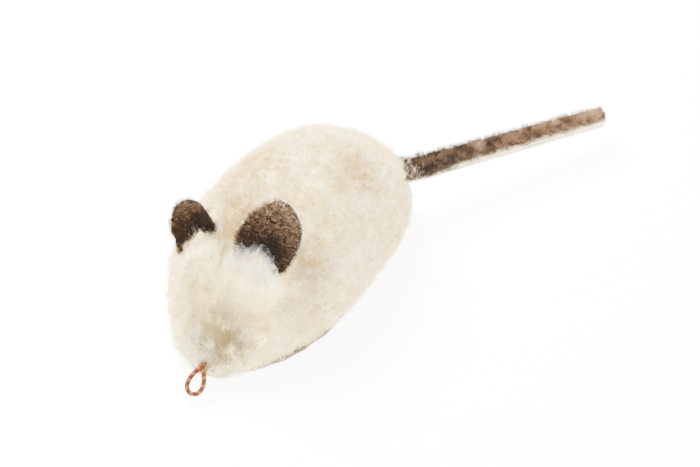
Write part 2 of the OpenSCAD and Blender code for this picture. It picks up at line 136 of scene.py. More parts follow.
def add(tree, kind, values=None, links=None, **settings):
    """Adds a node, sets its properties and inputs, and links sockets into it."""
    made = tree.nodes.new("ShaderNode" + kind)
    for key, value in settings.items():
        setattr(made, key, value)
    for key, value in (values or {}).items():
        made.inputs[key].default_value = value
    for key, socket in (links or {}).items():
        tree.links.new(socket, made.inputs[key])
    return made


def new_material(name):
    material = bpy.data.materials.new(name)
    material.use_nodes = True
    tree = material.node_tree
    return material, tree, tree.nodes["Principled BSDF"]


def ramp(tree, factor, stops):
    """Colour ramp from (position, hex) stops."""
    made = add(tree, "ValToRGB", links={"Fac": factor})
    for _ in range(len(stops) - 2):
        made.color_ramp.elements.new(0.5)
    for element, (place, colour) in zip(made.color_ramp.elements, stops):
        element.position = place
        element.color = linear(colour)
    return made.outputs["Color"]


def span(tree, value, low, high, to_low=0.0, to_high=1.0):
    return add(tree, "MapRange", {"From Min": low, "From Max": high, "To Min": to_low,
                                  "To Max": to_high}, {"Value": value}).outputs["Result"]


def blend_colours(tree, factor, first, second, mode="MIX"):
    """Mixes two colours, each a socket or a hex value."""
    made = add(tree, "Mix", data_type="RGBA", blend_type=mode)
    for socket, colour in ((made.inputs[6], first), (made.inputs[7], second)):
        if isinstance(colour, str):
            socket.default_value = linear(colour)
        else:
            tree.links.new(colour, socket)
    if isinstance(factor, float):
        made.inputs[0].default_value = factor
    else:
        tree.links.new(factor, made.inputs[0])
    return made.outputs[2]


def noise_of(tree, coords, size_mm, detail=3.0, rough=0.55):
    """Noise whose features are about size_mm across."""
    return add(tree, "TexNoise", {"Scale": 1 / (size_mm * MM), "Detail": detail,
                                  "Roughness": rough}, {"Vector": coords}).outputs["Fac"]


def bump(tree, shader, height, depth_mm, strength=1.0):
    made = add(tree, "Bump", {"Distance": depth_mm * MM, "Strength": strength},
               {"Height": height})
    tree.links.new(made.outputs["Normal"], shader.inputs["Normal"])


def object_coords(tree):
    return add(tree, "TexCoord").outputs["Object"]


def near(tree, coords, point, inner_mm, outer_mm):
    """1 near a point, fading to 0 between the two distances."""
    away = add(tree, "VectorMath", {1: point}, {0: coords}, operation="DISTANCE")
    return span(tree, away.outputs["Value"], outer_mm * MM, inner_mm * MM)


def piece_from(bm, name, body, smooth=True):
    """Turns a bmesh into a piece that rides on a body."""
    mesh = bpy.data.meshes.new(name)
    bm.to_mesh(mesh)
    bm.free()
    obj = bpy.data.objects.new(name, mesh)
    bpy.context.collection.objects.link(obj)
    mesh.polygons.foreach_set("use_smooth", [smooth] * len(mesh.polygons))
    if body:
        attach(obj, body)
    return obj


def cad_solid(node):
    """A CAD node's shape, with the corners that its faces share joined."""
    bm = bmesh.new()
    bm.from_mesh(frame["nodes"][node].data)
    bmesh.ops.remove_doubles(bm, verts=bm.verts, dist=1e-6)
    return bm


def even_copy(node, name, voxel):
    """A copy of a CAD solid on the mouse's body, with an even mesh."""
    piece = piece_from(cad_solid(node), name, "mouse")
    remesh = piece.modifiers.new("even", "REMESH")
    remesh.mode = "VOXEL"
    remesh.voxel_size = voxel
    bpy.context.view_layer.update()
    graph = bpy.context.evaluated_depsgraph_get()
    mesh = bpy.data.meshes.new_from_object(piece.evaluated_get(graph))
    piece.modifiers.clear()
    piece.data = mesh
    return piece


def thicken(bm, step):
    """Extrudes a sheet by a step into a closed solid whose faces look outward."""
    got = bmesh.ops.extrude_face_region(bm, geom=list(bm.faces))
    moved = [v for v in got["geom"] if isinstance(v, bmesh.types.BMVert)]
    bmesh.ops.translate(bm, vec=step, verts=moved)
    bmesh.ops.recalc_face_normals(bm, faces=bm.faces)
    if bm.calc_volume(signed=True) < 0:
        bmesh.ops.reverse_faces(bm, faces=bm.faces)


def corner_arrays(mesh):
    """The places and the normals of a mesh's corners."""
    places = np.zeros(len(mesh.vertices) * 3)
    normals = np.zeros(len(mesh.vertices) * 3)
    mesh.vertices.foreach_get("co", places)
    mesh.vertices.foreach_get("normal", normals)
    return places.reshape(-1, 3), normals.reshape(-1, 3)


# ---------------------------------------------------------------- materials

def floor_paper():
    material, tree, shader = new_material("white_backdrop_paper")
    grain = noise_of(tree, object_coords(tree), 2.0)
    colour = ramp(tree, grain, [(0.3, "#fbfbfb"), (0.7, "#fdfdfd")])
    tree.links.new(colour, shader.inputs["Base Color"])
    shader.inputs["Roughness"].default_value = 0.9
    shader.inputs["Emission Color"].default_value = linear("#ffffff")
    shader.inputs["Emission Strength"].default_value = 7.0
    return material


# Middle of the cord hole in millimetres; the wool is painted near black round it as painted shade.
NOSE_HOLE_SHADE = (56.4, 6.7, 7.6)
# Grease stains, as place, inner and outer reach in millimetres, colour and amount.
WOOL_STAINS = (
    ((50, 8, 16), 4, 15, "#86702c", 0.85),
    ((50, 13, 15), 2, 9, "#74590f", 0.8),
    ((46, 3, 19), 2, 10, "#a08838", 0.6),
    ((27, -2, 40), 3, 12, "#7d5f14", 1.0),
    ((20, -8, 42), 4, 17, "#b8942e", 0.9),
    ((18, 22, 33), 2, 11, "#ae8c38", 0.75),
    ((-20, 14, 44), 2, 15, "#c49c40", 0.8),
    ((42, -6, 24), 3, 16, "#cbb662", 0.8),
    ((2, -14, 45), 4, 22, "#d8b850", 0.8),
    ((24, 28, 22), 3, 16, "#cbb78e", 0.6),
)


def sheep_wool(name, deep):
    """Clipped natural wool: matt, cream, with yellow grease patches, a few dark specks and painted
    shade at the cord hole.
    """
    material, tree, shader = new_material(name)
    coords = object_coords(tree)
    colour = ramp(tree, noise_of(tree, coords, 16, 4.0, 0.6),
                  [(0.32, "#fff9d2"), (0.5, "#fdf0b8"), (0.68, "#f3de8a")])
    mottle = ramp(tree, noise_of(tree, coords, 4.5, 3.0, 0.6),
                  [(0.3, "#ead7aa"), (0.56, "#ffffff")])
    colour = blend_colours(tree, 0.9, colour, mottle, "MULTIPLY")
    torn = span(tree, noise_of(tree, coords, 5, 3.0), 0.3, 0.52)
    for place, inner, outer, stain, amount in WOOL_STAINS:
        area = near(tree, coords, spot(*place), inner, outer)
        patch = add(tree, "Math", links={0: area, 1: torn}, operation="MULTIPLY")
        patch = span(tree, patch.outputs[0], 0.0, 1.0, 0.0, amount)
        colour = blend_colours(tree, patch, colour, stain)
    # Painted shade: near black where the cord comes out of the nose.
    hole = near(tree, coords, spot(*NOSE_HOLE_SHADE), 1.4, 3.4)
    colour = blend_colours(tree, hole, colour, "#1c1206")
    specks = add(tree, "TexVoronoi", {"Scale": 1 / (9 * MM), "Randomness": 1.0},
                 {"Vector": coords}).outputs["Distance"]
    colour = blend_colours(tree, span(tree, specks, 0.035, 0.02), colour, "#55422c")
    if deep:
        bump(tree, shader, noise_of(tree, coords, 0.9, 3.0), 0.3, 0.5)
        shader.inputs["Subsurface Weight"].default_value = 0.35
        shader.inputs["Subsurface Radius"].default_value = (1.0, 0.9, 0.7)
        shader.inputs["Subsurface Scale"].default_value = 1.2 * MM
    tree.links.new(colour, shader.inputs["Base Color"])
    shader.inputs["Roughness"].default_value = 0.8
    shader.inputs["Specular IOR Level"].default_value = 0.2
    shader.inputs["Sheen Weight"].default_value = 0.3
    shader.inputs["Sheen Roughness"].default_value = 0.6
    return material


def brown_pile(name):
    """Brown shearling: pale root, brown shaft, greyed tip, with painted shade darker down in the
    crease.
    """
    material, tree, shader = new_material(name)
    along = add(tree, "Attribute", attribute_name="along").outputs["Fac"]
    tint = add(tree, "Attribute", attribute_name="tint").outputs["Fac"]
    # Tints near 0 give the near-black painted shade that make_ear puts in the ear's crease and at its
    # foot.
    colour = ramp(tree, tint, [(0.0, "#030100"), (0.35, "#130902"), (0.6, "#2e1d10"),
                               (0.82, "#5a432d"), (1.0, "#b89c78")])
    tip = blend_colours(tree, span(tree, along, 0.55, 1.0, 0.0, 0.25), colour, "#75604a")
    tree.links.new(tip, shader.inputs["Base Color"])
    shader.inputs["Roughness"].default_value = 0.7
    shader.inputs["Specular IOR Level"].default_value = 0.12
    return material


def tail_hair(name):
    """Tail shearling: browns that vary along it, and cream where the pile was cut low."""
    material, tree, shader = new_material(name)
    tint = add(tree, "Attribute", attribute_name="tint").outputs["Fac"]
    colour = ramp(tree, tint, [(0.1, "#1f1409"), (0.5, "#4c3620"), (0.86, "#8f7150"),
                               (0.92, "#e0c998"), (1.0, "#f4e4c0")])
    tree.links.new(colour, shader.inputs["Base Color"])
    shader.inputs["Roughness"].default_value = 0.7
    shader.inputs["Specular IOR Level"].default_value = 0.3
    return material


def loose_wool(name):
    """Single white wool fibres, brighter than the fleece behind them."""
    material, tree, shader = new_material(name)
    tint = add(tree, "Attribute", attribute_name="tint").outputs["Fac"]
    tree.links.new(ramp(tree, tint, [(0.0, "#cfccc4"), (1.0, "#fbfaf5")]),
                   shader.inputs["Base Color"])
    shader.inputs["Roughness"].default_value = 0.75
    shader.inputs["Specular IOR Level"].default_value = 0.2
    return material


def pile_felt(name, dark, light):
    """The dense pile between the hairs."""
    material, tree, shader = new_material(name)
    coords = object_coords(tree)
    fine = noise_of(tree, coords, 0.8, 4.0, 0.7)
    tree.links.new(ramp(tree, fine, [(0.3, dark), (0.7, light)]), shader.inputs["Base Color"])
    shader.inputs["Roughness"].default_value = 0.9
    bump(tree, shader, fine, 0.3)
    return material


def pale_leather(name, colour_a="#f1e9dc", colour_b="#ddd0bd"):
    """Suede side of sheepskin: pale, matt, with a short nap and faint grain."""
    material, tree, shader = new_material(name)
    coords = object_coords(tree)
    cloud = noise_of(tree, coords, 6, 4.0)
    tree.links.new(ramp(tree, cloud, [(0.35, colour_a), (0.65, colour_b)]),
                   shader.inputs["Base Color"])
    shader.inputs["Roughness"].default_value = 0.85
    bump(tree, shader, noise_of(tree, coords, 0.4, 5.0, 0.7), 0.12)
    return material


def twisted_cord(name, colours):
    """Twisted synthetic cord: strands with a silky sheen and fine fibres along the lay."""
    material, tree, shader = new_material(name)
    coords = object_coords(tree)
    fine = noise_of(tree, coords, 0.35, 4.0, 0.7)
    tree.links.new(ramp(tree, fine, list(zip((0.3, 0.5, 0.72), colours))),
                   shader.inputs["Base Color"])
    shader.inputs["Roughness"].default_value = 0.6
    shader.inputs["Specular IOR Level"].default_value = 0.15
    bump(tree, shader, fine, 0.08)
    return material


def brushed_metal(name, base, dark, roughness=0.32):
    """Stamped or turned metal: fine brushing and slightly darker smudges."""
    material, tree, shader = new_material(name)
    coords = object_coords(tree)
    stretched = add(tree, "Mapping", {"Scale": (1.0, 14.0, 14.0)}, {"Vector": coords})
    lines = noise_of(tree, stretched.outputs["Vector"], 2.0, 4.0, 0.7)
    smudge = noise_of(tree, coords, 5.0, 3.0)
    colour = blend_colours(tree, span(tree, smudge, 0.45, 0.75), base, dark)
    tree.links.new(colour, shader.inputs["Base Color"])
    tree.links.new(span(tree, lines, 0.3, 0.7, roughness - 0.08, roughness + 0.12),
                   shader.inputs["Roughness"])
    shader.inputs["Metallic"].default_value = 1.0
    bump(tree, shader, lines, 0.02)
    return material


def moulded_plastic(name, base, worn, roughness=0.45):
    """Moulded acetal or rubber: fine spark texture and paler rubbed areas."""
    material, tree, shader = new_material(name)
    coords = object_coords(tree)
    rubbed = noise_of(tree, coords, 4.0, 4.0)
    tree.links.new(blend_colours(tree, span(tree, rubbed, 0.5, 0.8, 0.0, 0.5), base, worn),
                   shader.inputs["Base Color"])
    shader.inputs["Roughness"].default_value = roughness
    bump(tree, shader, noise_of(tree, coords, 0.25, 3.0), 0.03)
    return material


def woven_thread(name, light, dark):
    """Waxed thread: twisted ply seen as slanting dark lines."""
    material, tree, shader = new_material(name)
    coords = object_coords(tree)
    ply = add(tree, "TexWave", {"Scale": 1 / (1.2 * MM), "Distortion": 1.5},
              {"Vector": coords}, bands_direction="DIAGONAL").outputs["Fac"]
    tree.links.new(ramp(tree, ply, [(0.2, dark), (0.7, light)]), shader.inputs["Base Color"])
    shader.inputs["Roughness"].default_value = 0.6
    bump(tree, shader, ply, 0.05)
    return material


# ---------------------------------------------------------------- fibres

FIBRE_LEVELS = 3


def fibre_template(levels):
    """One three-sided tapering fibre: its rings' corners, triangles and unrolled map."""
    bm = bmesh.new()
    bmesh.ops.create_cone(bm, cap_ends=True, segments=3, radius1=1, radius2=1, depth=1)
    upright = [e for e in bm.edges if abs(e.verts[0].co.z - e.verts[1].co.z) > 0.5]
    bmesh.ops.subdivide_edges(bm, edges=upright, cuts=levels - 1, use_grid_fill=True)
    top = [v for v in bm.verts if v.co.z > 0.49]
    bmesh.ops.pointmerge(bm, verts=top, merge_co=(0, 0, 0.5))
    bmesh.ops.triangulate(bm, faces=bm.faces)
    bmesh.ops.recalc_face_normals(bm, faces=bm.faces)
    bm.verts.ensure_lookup_table()
    corners = []
    for vert in bm.verts:
        level = round((vert.co.z + 0.5) * levels)
        flat = Vector(vert.co[:2])
        flat = flat.normalized() if flat.length > 1e-6 else Vector((0, 0))
        corners.append((level, flat.x, flat.y))
    turns = [round(math.atan2(y, x) / (math.tau / 3) * 2) / 2 % 3 for _, x, y in corners]
    faces, unrolled = [], []
    for face in bm.faces:
        ring = [v.index for v in face.verts]
        faces.append(ring)
        sides = [turns[i] for i in ring if corners[i][0] < levels]
        wraps = max(sides) - min(sides) > 1.5
        capped = all(corners[i][0] == 0 for i in ring)
        for i in ring:
            level = corners[i][0]
            turn = turns[i] + (3 if wraps and turns[i] < 1.5 else 0)
            if level == levels:
                turn = sum(s + (3 if wraps and s < 1.5 else 0) for s in sides) / len(sides)
            if capped:
                unrolled.append((0.02 + 0.03 * turns[i], 0.02 if turns[i] > 0.5 else 0.05))
            else:
                unrolled.append((0.05 + 0.9 * (turn % 4) / 4, 0.1 + 0.88 * level / levels))
    bm.free()
    return np.array(corners), np.array(faces), np.array(unrolled)


TEMPLATE, TEMPLATE_FACES, TEMPLATE_MAP = fibre_template(FIBRE_LEVELS)
# A fibre's width at its root, at each ring and at its tip, as a share of its root.
TAPER = np.array([1.0, 0.85, 0.6, 0.0])


def units(v):
    return v / np.maximum(np.linalg.norm(v, axis=-1, keepdims=True), 1e-9)


def grow(name, paths, thick, tints, material, body):
    """One mesh of closed tapering fibres along paths, an array of count x levels+1 x 3."""
    count = len(paths)
    level = TEMPLATE[:, 0].astype(int)
    tangent = units(np.gradient(paths, axis=1))
    reference = np.where(np.abs(tangent[:, :1, 2:]) < 0.9, [0.0, 0.0, 1.0], [1.0, 0.0, 0.0])
    side = units(np.cross(tangent, reference))
    other = np.cross(tangent, side)
    across = (TEMPLATE[:, 1, None] * side[:, level] + TEMPLATE[:, 2, None] * other[:, level])
    corners = paths[:, level] + across * (thick[:, None] * TAPER[level])[..., None]
    per = len(level)
    faces = (TEMPLATE_FACES[None] + (np.arange(count) * per)[:, None, None]).reshape(-1, 3)
    mesh = bpy.data.meshes.new(name)
    mesh.vertices.add(count * per)
    mesh.vertices.foreach_set("co", corners.reshape(-1).astype(np.float32))
    mesh.loops.add(faces.size)
    mesh.loops.foreach_set("vertex_index", faces.reshape(-1).astype(np.int32))
    mesh.polygons.add(len(faces))
    mesh.polygons.foreach_set("loop_start", np.arange(0, faces.size, 3, dtype=np.int32))
    mesh.update(calc_edges=True)
    mesh.polygons.foreach_set("use_smooth", np.ones(len(faces), bool))
    grid = math.ceil(math.sqrt(count))
    cells = np.stack([np.arange(count) % grid, np.arange(count) // grid], -1)
    unrolled = (TEMPLATE_MAP[None] + cells[:, None]) / grid
    layer = mesh.uv_layers.new(name="OFBake")
    layer.data.foreach_set("uv", unrolled.reshape(-1).astype(np.float32))
    along = np.tile(level / FIBRE_LEVELS, count)
    tint = np.repeat(tints, per)
    for label, values in (("along", along), ("tint", tint)):
        attribute = mesh.attributes.new(label, "FLOAT", "POINT")
        attribute.data.foreach_set("value", values.astype(np.float32))
    obj = bpy.data.objects.new(name, mesh)
    bpy.context.collection.objects.link(obj)
    obj.data.materials.append(material)
    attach(obj, body)
    return obj


def scatter(obj, count, rng, wanted):
    """Random points on an object's wanted faces, with smooth normals."""
    mesh = obj.data
    mesh.calc_loop_triangles()
    tris = np.zeros(len(mesh.loop_triangles) * 3, np.int32)
    mesh.loop_triangles.foreach_get("vertices", tris)
    tris = tris.reshape(-1, 3)
    places, normals = corner_arrays(mesh)
    tris = tris[wanted(places[tris].mean(1), normals[tris].mean(1))]
    a, b, c = (places[tris[:, i]] for i in range(3))
    area = np.linalg.norm(np.cross(b - a, c - a), axis=1)
    pick = rng.choice(len(tris), count, p=area / area.sum())
    u, v = rng.random(count), rng.random(count)
    flip = u + v > 1
    u[flip], v[flip] = 1 - u[flip], 1 - v[flip]
    w = 1 - u - v
    mix = np.stack([w, u, v], -1)[..., None]
    return (places[tris[pick]] * mix).sum(1), units((normals[tris[pick]] * mix).sum(1))


def nearest(points, centres):
    tree = KDTree(len(centres))
    for i, centre in enumerate(centres):
        tree.insert(centre, i)
    tree.balance()
    return np.array([tree.find(p)[1] for p in points])


def lock_paths(points, normals, rng, comb, rise, sweep, curl, gather, lock_mm2, area_mm2):
    """Curved paths gathered into locks: rise and sweep are lengths in metres."""
    count = len(points)
    locks = max(4, int(area_mm2 / lock_mm2))
    own = rng.choice(count, locks, replace=False)
    which = nearest(points, points[own])
    lean = comb + rng.normal(0, 1.0, (locks, 3))[which] * 0.9 + rng.normal(0, 0.5, (count, 3))
    lean -= normals * (lean * normals).sum(1, keepdims=True)
    lean = units(lean)
    beside = np.cross(normals, lean)
    phase = rng.uniform(0, math.tau, locks)[which] + rng.normal(0, 0.9, count)
    size = rng.uniform(0.7, 1.25, locks)[which] * rng.uniform(0.75, 1.15, count)
    steps = np.arange(FIBRE_LEVELS + 1) / FIBRE_LEVELS
    s = steps[None, :, None]
    turn = phase[:, None, None] + s * 4.2
    path = points[:, None] + normals[:, None] * (rise * size)[:, None, None] * s ** 0.8
    path = path + lean[:, None] * (sweep * size)[:, None, None] * s ** 1.3
    path = path + curl * s * (np.sin(turn) * beside[:, None] + np.cos(turn) * lean[:, None])
    middle = path[own][which]
    return path + (middle - path) * gather * s ** 2


# ---------------------------------------------------------------- the fleece

WOOL_COUNT = 82000
WOOL_PIECES = 7
# The fleece's area in square millimetres, which sets how many locks it has.
WOOL_AREA = 14000

# Where the stuffed body is fuller or flatter than the plain solid, as place, reach and push.
BODY_TOUCHES = (
    ((0, -22, 36), 16, -1.3),
    ((18, -20, 34), 12, -1.0),
    ((30, 28, 9), 14, -1.7),
    ((14, 34, 8), 12, -1.0),
    ((44, -14, 16), 12, -2.2),
    ((-38, 4, 38), 12, -1.5),
    ((33, 9, 34), 7, 0.3),
    ((30, 18, 32), 5, 1.8),
    ((33, -11, 34), 6, -2.4),
)


def body_centre_line(points):
    """Points of the body's core, at the same station along it as the given points."""
    core = np.array(points, float)
    x = (core[:, 0] - ORIGIN.x) / MM
    core[:, 1] = ORIGIN.y + x * x / 470 * MM
    core[:, 0] = ORIGIN.x + np.clip(x, -38, 38) * MM
    core[:, 2] = 12 * MM
    return core


def outward(places, normals):
    return ((places - body_centre_line(places)) * normals).sum(1) > 0.3 * MM


def clear_of_ears(points):
    """False where an ear's foot or blade would have wool grow through it."""
    keep = np.ones(len(points), bool)
    for side in EAR_TURN:
        local = local_points(ear_place(side), points)
        inside = (local[:, 0] < -1.0 * MM) & (local[:, 0] > -EAR_CUP - EAR_T + 0.2 * MM)
        low, high = min(EAR_EDGES[side][1]) * MM, max(EAR_EDGES[side][2]) * MM
        beside = (local[:, 1] > low) & (local[:, 1] < high)
        inside &= beside & (local[:, 2] > -4 * MM)
        front = (local[:, 0] > -1.0 * MM) & (local[:, 0] < 4.0 * MM) & (local[:, 2] < 7 * MM)
        front &= beside
        keep &= ~inside & ~(front & (np.arange(len(points)) % 3 > 0))
    return keep


def local_points(place, points):
    """Points seen from a placed piece's own axes."""
    inverse = np.array(place.inverted())
    return points @ inverse[:3, :3].T + inverse[:3, 3]


def make_fleece():
    """The wool's body: the pelt's outer shape, drawn in, lumped and covered in locks."""
    rng = np.random.default_rng(11)
    base = even_copy("fleece_pile", "fleece_underwool", 1.1 * MM)
    mesh = base.data
    places, normals = corner_arrays(mesh)
    outer = outward(places, normals)
    for i in np.flatnonzero(outer):
        p = Vector(places[i])
        lump = noise.noise(p / (7 * MM)) * 0.9 + noise.noise(p / (3.2 * MM)) * 0.45
        for place, reach, push in BODY_TOUCHES:
            lump += push * math.exp(-((p - spot(*place)).length / (reach * MM)) ** 2)
        places[i] += normals[i] * (lump - 1.5) * MM
    for side in EAR_TURN:
        local = local_points(ear_place(side), places) / MM
        dent = np.clip(1 - np.abs(local[:, 0] - 1) / 5, 0, 1) * (np.abs(local[:, 1]) < 9.5)
        dent = dent * (local[:, 2] < 7) * outer
        places -= normals * (0.4 * dent)[:, None] * MM
    places[:, 2] = np.maximum(places[:, 2], 2.0 * MM)
    mesh.vertices.foreach_set("co", places.reshape(-1))
    mesh.update()
    mesh.polygons.foreach_set("use_smooth", [True] * len(mesh.polygons))
    mesh.materials.clear()
    mesh.materials.append(sheep_wool("wool_under_layer", True))
    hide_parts("fleece_pile")

    points, normals = scatter(base, WOOL_COUNT, rng, lambda p, n: outward(p, n))
    comb = np.tile([-0.5, 0.0, -0.35], (len(points), 1))
    keep = clear_of_ears(points)
    points, normals, comb = points[keep], normals[keep], comb[keep]
    paths = lock_paths(points, normals, rng, comb, 2.3 * MM, 1.2 * MM, 0.5 * MM, 0.3, 4.0,
                       WOOL_AREA)
    paths[..., 2] = np.maximum(paths[..., 2], 1.9 * MM)
    thick = rng.uniform(0.045, 0.075, len(points)) * MM
    tints = rng.random(len(points))
    hair = sheep_wool("wool_fibre", False)
    order = np.argsort(points[:, 0])
    for k, part in enumerate(np.array_split(order, WOOL_PIECES)):
        grow(f"fleece_locks_{k + 1}", paths[part], thick[part], tints[part], hair,
             "mouse")
    return base


# ---------------------------------------------------------------- ears

EAR_W = 20.5 * MM
EAR_H = 21 * MM
EAR_ROOT = 2.5 * MM
EAR_CUP = 4 * MM
EAR_T = 2.4 * MM
EAR_TURN = {"left": (-8, -25, 8), "right": (36, -25, 8)}
EAR_SHARE = {"left": 1.0, "right": 0.86}
# Heights up the blade and its two edges there, in millimetres.
EAR_EDGES = {
    "left": ((-2.5, 0, 1.4, 5.6, 8.6, 11.7, 14.2, 16.7, 19.2, 20.7, 21.2),
             (-8.8, -9.7, -10.3, -10.6, -10.2, -9.4, -7.9, -6.1, -4.0, -2.0, -0.6),
             (6.6, 8.0, 8.4, 9.3, 9.8, 9.8, 9.2, 7.8, 5.2, 2.8, 1.0)),
    "right": ((-4, -1.3, 1, 3, 5, 7, 9, 10.6, 11.8, 12.7, 13.3),
              (-9.0, -9.5, -9.6, -9.6, -9.4, -9.0, -8.0, -6.9, -5.7, -4.2, -2.2),
              (6.0, 6.1, 6.4, 6.0, 5.5, 5.0, 4.6, 3.8, 2.6, 1.1, -1.2)),
}


def cad_ear_corner(side):
    """Lowest corner of the plain leaf before it is placed, to match with the CAD ear."""
    share, turn = EAR_SHARE[side], ear_turn(side)
    low = Vector((9, 9, 9))
    for i in range(15):
        v = i / 14
        wide = share * EAR_W / 2 * math.sin(math.acos(1 - 2 * (0.14 + 0.85 * v)))
        up = (share * EAR_H + EAR_ROOT) * v - EAR_ROOT
        for j in range(11):
            u = j / 5 - 1
            cup = EAR_CUP * (1 - u * u) * (0.4 + 0.6 * v)
            for back in (0, EAR_T):
                p = turn @ Vector((-cup - back, wide * u, up))
                low = Vector(min(a, b) for a, b in zip(low, p))
    return low


def ear_turn(side):
    ax, ay, az = (math.radians(a) for a in EAR_TURN[side])
    return Matrix.Rotation(az, 4, "Z") @ Matrix.Rotation(ay, 4, "Y") @ Matrix.Rotation(ax, 4, "X")


def ear_place(side):
    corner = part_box("ear_" + side)[0] - cad_ear_corner(side)
    return Matrix.Translation(corner) @ ear_turn(side)


def ear_leaf(side, rows, cols, back, inset=0.0):
    """A cupped leaf as a grid, standing on its foot and facing forward."""
    heights, left, right = (np.array(row) * MM for row in EAR_EDGES[side])
    bm = bmesh.new()
    bmesh.ops.create_grid(bm, x_segments=cols, y_segments=rows, size=1)
    for vert in bm.verts:
        v = math.sin((vert.co.y + 1) / 2 * math.pi / 2)
        up = heights[0] + (heights[-1] - heights[0] - inset) * v
        a = np.interp(up, heights, left) + inset
        b = np.interp(up, heights, right) - inset
        u = vert.co.x
        cup = EAR_CUP * (1 - u * u) * (0.4 + 0.6 * v) * (1 - v ** 4)
        vert.co = (-cup - back, (a + b) / 2 + (b - a) / 2 * u, up)
    bmesh.ops.recalc_face_normals(bm, faces=bm.faces)
    return bm


def make_ear(side, seed):
    rng = np.random.default_rng(seed)
    place = ear_place(side)

    def blade(name, back, thick, inset):
        bm = ear_leaf(side, 28, 24, back, inset)
        thicken(bm, (thick, 0, 0))
        bmesh.ops.transform(bm, matrix=place, verts=bm.verts)
        return piece_from(bm, name, "mouse")

    leather = blade(f"ear_leather_{side}", EAR_T, 0.7 * MM, 0.15 * MM)
    leather.data.materials.append(pale_leather(f"ear_suede_{side}"))
    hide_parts("ear_" + side)
    felt = blade(f"ear_under_pile_{side}", EAR_T - 0.7 * MM, 1.5 * MM, 0.2 * MM)
    felt.data.materials.append(pile_felt(f"ear_pile_felt_{side}", "#0c0602", "#2a1808"))
    front = np.array(place.to_3x3() @ Vector((1, 0, 0)))
    points, normals = scatter(felt, 9200, rng, lambda p, n: n @ front > 0.1)
    comb = np.tile(list(place.to_3x3() @ Vector((0, 0, 0.5))), (len(points), 1))
    paths = lock_paths(points, normals, rng, comb, 1.4 * MM, 0.9 * MM, 0.55 * MM, 0.12, 2.0, 300)
    thick = rng.uniform(0.036, 0.06, len(points)) * MM
    local = local_points(place, points) / MM
    # Painted shade and light: the tint is darker in the crease near the cup's lower middle and
    # towards the foot, and paler towards the top.
    crease = 1 - np.hypot((local[:, 1] - 2) / 6, (local[:, 2] - 3) / 7)
    high = np.clip(local[:, 2] / 16 - 0.35, 0, 1)
    foot = np.clip(1 - local[:, 2] / 9, 0, 1)
    tints = rng.normal(0.58, 0.19, len(points)) - 0.5 * np.clip(crease, 0, 1) + 0.25 * high
    tints -= 0.22 * foot
    tints = np.clip(tints, 0, 1)
    grow(f"ear_hair_{side}", paths, thick, tints, brown_pile(f"ear_hair_brown_{side}"),
         "mouse")


def make_ear_tufts(base):
    """Loose pale wool that stands up over the feet of the ears."""
    rng = np.random.default_rng(31)
    hair = loose_wool("loose_white_wool_fibre")
    for side, count, reach in (("left", 900, (-9.8, 6.0)), ("right", 90, (-8, 8))):
        place = ear_place(side)
        up = np.array(place.to_3x3() @ Vector((-0.1, 0, 1)))

        def before_ear(p, n):
            local = local_points(place, p) / MM
            wanted = (local[:, 0] > -3.5) & (local[:, 0] < 3.0) & (local[:, 2] < 4)
            wanted &= (local[:, 1] > reach[0]) & (local[:, 1] < reach[1])
            return wanted & outward(p, n)

        points, normals = scatter(base, count, rng, before_ear)
        comb = np.tile(up * 2.2, (len(points), 1))
        paths = lock_paths(points, normals, rng, comb, 1.6 * MM, 3.0 * MM, 1.3 * MM, 0.02, 3.0, 60)
        thick = rng.uniform(0.02, 0.034, len(points)) * MM
        grow(f"ear_foot_wool_{side}", paths, thick, rng.random(len(points)), hair, "mouse")


# ---------------------------------------------------------------- tail

TAIL_LEN = 91 * MM
TAIL_ROOT_W = 10.4 * MM
TAIL_TIP_W = 7 * MM
TAIL_HIDDEN = 4 * MM


def tail_place():
    root = Vector(JOINTS["tail_sway"]["pos_m"])
    return (Matrix.Translation(root) @ Matrix.Rotation(math.radians(-27), 4, "Z")
            @ Matrix.Rotation(math.radians(-6), 4, "Y"))


def tail_layer(name, low, high, inset, trim):
    """One layer of the tail, from its root to its round tip; trim draws in its left edge."""
    bm = bmesh.new()
    bmesh.ops.create_grid(bm, x_segments=90, y_segments=10, size=1)
    for vert in bm.verts:
        t, u = (1 - vert.co.x) / 2, vert.co.y
        wide = (TAIL_ROOT_W + (TAIL_TIP_W - TAIL_ROOT_W) * t) / 2 - inset
        tip = min(1, (1 - t) * TAIL_LEN / (TAIL_TIP_W / 2))
        wide *= math.sqrt(max(0.0, 1 - (1 - tip) ** 2)) * 0.96 + 0.04
        wide += trim * 0.3 * max(0, 1 - t / 0.2)
        cut = trim * min(1, max(0, (t - 0.2) / 0.2)) if u > 0 else 0
        wave = math.sin(t * 19) * 0.3 + math.sin(t * 7 + 1) * 0.5
        side = (wide - cut) * u + wave * 0.35 * MM
        lump = noise.noise(Vector((t * 22, u * 1.3, high * 900))) * (high - low) * 0.35
        rise = 0.45 + 0.55 * min(1, t / 0.6)
        wide_at_root = math.sqrt(min(1, 0.2 + t / 0.04))
        sag = 1.3 * MM * (1 - t) * min(1, max(0, (t - 0.05) / 0.1))
        vert.co = (TAIL_HIDDEN - (TAIL_LEN + TAIL_HIDDEN) * t, (side + lump) * wide_at_root,
                   low * rise + wave * 0.4 * MM + lump - sag)
    thicken(bm, (0, 0, high - low))
    bmesh.ops.transform(bm, matrix=tail_place(), verts=bm.verts)
    return piece_from(bm, name, "tail")


